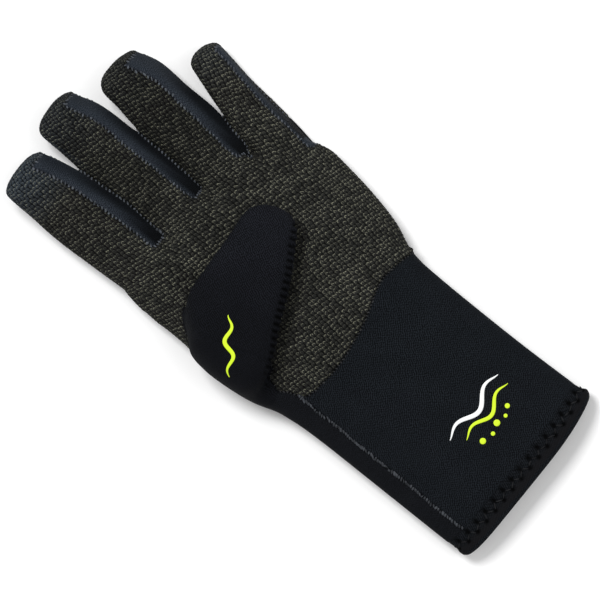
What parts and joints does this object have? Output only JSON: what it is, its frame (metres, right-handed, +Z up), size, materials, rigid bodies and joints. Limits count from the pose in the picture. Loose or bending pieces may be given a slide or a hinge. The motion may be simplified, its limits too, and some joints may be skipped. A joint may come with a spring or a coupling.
{
  "type": "diving glove",
  "caption": "Left-hand neoprene diving glove with a knitted grip palm, side gussets, a long cuff and the thumb folded over the palm.",
  "frame": {"origin": "centre of the bounding box at the surface that the back of the hand lies on", "axes": "+Y along the fingers to their tips, +X to the little finger's side, +Z up out of the palm"},
  "size_m": [0.1304, 0.3072, 0.0385],
  "materials": {
    "knit": "matt",
    "smooth_neoprene": "matt",
    "side_neoprene": "matt",
    "cuff_neoprene": "matt"
  },
  "bodies": {
    "root": {"palm_panel": "knit", "hand_back": "smooth_neoprene", "thumb_back": "smooth_neoprene", "thumb_front": "knit", "cuff_panel": "cuff_neoprene", "cuff_side_strip": "cuff_neoprene", "cuff_hem": "cuff_neoprene", "index_back": "knit", "middle_back": "knit", "ring_back": "knit", "little_back": "knit", "gusset_index_middle": "side_neoprene", "gusset_middle_ring": "side_neoprene", "gusset_ring_little": "side_neoprene", "index_side_strip": "side_neoprene", "little_side_strip": "side_neoprene"}
  },
  "joints": []
}
